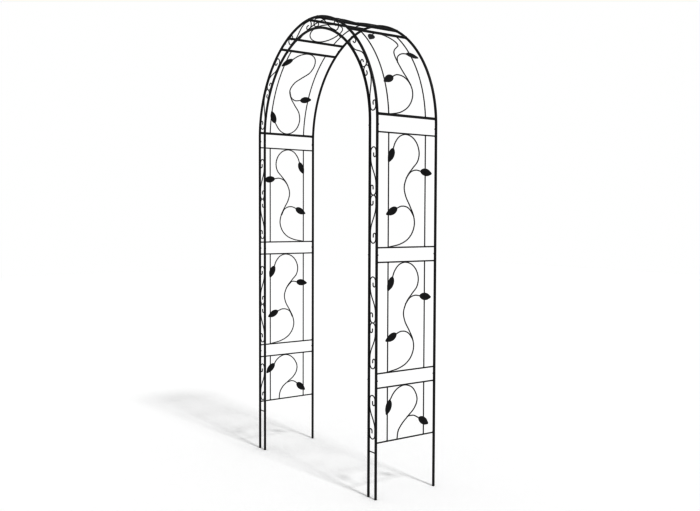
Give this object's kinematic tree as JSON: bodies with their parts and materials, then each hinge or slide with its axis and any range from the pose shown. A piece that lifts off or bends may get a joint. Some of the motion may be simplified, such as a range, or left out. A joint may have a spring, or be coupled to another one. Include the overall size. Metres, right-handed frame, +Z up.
{
  "type": "garden trellis arch",
  "caption": "Free-standing black steel arch for climbing plants, with slim hoops, ladder scrollwork and welded vine panels.",
  "frame": {"origin": "on the ground, in the middle of the footprint", "axes": "+Z up, +X to the right across the passage, -Y towards the side with the double hoop"},
  "size_m": [1.126, 0.38, 2.4002],
  "materials": {
    "hoop_tube": "satin black powder coat on steel tube",
    "vine_panel": "satin black powder coat on welded steel wire, rods and leaves",
    "joint_screw": "black passivated steel"
  },
  "bodies": {
    "root": {"front_outer_right_lower_post": "hoop_tube", "front_outer_right_middle_post": "hoop_tube", "front_outer_right_upper_post": "hoop_tube", "front_outer_right_shoulder_tube": "hoop_tube", "front_outer_left_lower_post": "hoop_tube", "front_outer_left_middle_post": "hoop_tube", "front_outer_left_upper_post": "hoop_tube", "front_outer_left_shoulder_tube": "hoop_tube", "front_inner_right_lower_post": "hoop_tube", "front_inner_right_middle_post": "hoop_tube", "front_inner_right_upper_post": "hoop_tube", "front_inner_right_shoulder_tube": "hoop_tube", "front_inner_left_lower_post": "hoop_tube", "front_inner_left_middle_post": "hoop_tube", "front_inner_left_upper_post": "hoop_tube", "front_inner_left_shoulder_tube": "hoop_tube", "back_right_lower_post": "hoop_tube", "back_right_middle_post": "hoop_tube", "back_right_upper_post": "hoop_tube", "back_right_shoulder_tube": "hoop_tube", "back_left_lower_post": "hoop_tube", "back_left_middle_post": "hoop_tube", "back_left_upper_post": "hoop_tube", "back_left_shoulder_tube": "hoop_tube", "front_outer_crown_tube": "hoop_tube", "front_inner_crown_tube": "hoop_tube", "back_crown_tube": "hoop_tube", "right_lower_panel": "vine_panel", "right_middle_panel": "vine_panel", "right_upper_panel": "vine_panel", "right_shoulder_panel": "vine_panel", "left_lower_panel": "vine_panel", "left_middle_panel": "vine_panel", "left_upper_panel": "vine_panel", "left_shoulder_panel": "vine_panel", "crown_panel": "vine_panel", "front_outer_right_screw_1": "joint_screw", "front_outer_right_screw_2": "joint_screw", "front_outer_right_screw_3": "joint_screw", "front_outer_right_screw_4": "joint_screw", "front_outer_left_screw_1": "joint_screw", "front_outer_left_screw_2": "joint_screw", "front_outer_left_screw_3": "joint_screw", "front_outer_left_screw_4": "joint_screw", "front_inner_right_screw_1": "joint_screw", "front_inner_right_screw_2": "joint_screw", "front_inner_right_screw_3": "joint_screw", "front_inner_right_screw_4": "joint_screw", "front_inner_left_screw_1": "joint_screw", "front_inner_left_screw_2": "joint_screw", "front_inner_left_screw_3": "joint_screw", "front_inner_left_screw_4": "joint_screw", "back_right_screw_1": "joint_screw", "back_right_screw_2": "joint_screw", "back_right_screw_3": "joint_screw", "back_right_screw_4": "joint_screw", "back_left_screw_1": "joint_screw", "back_left_screw_2": "joint_screw", "back_left_screw_3": "joint_screw", "back_left_screw_4": "joint_screw"}
  },
  "joints": []
}
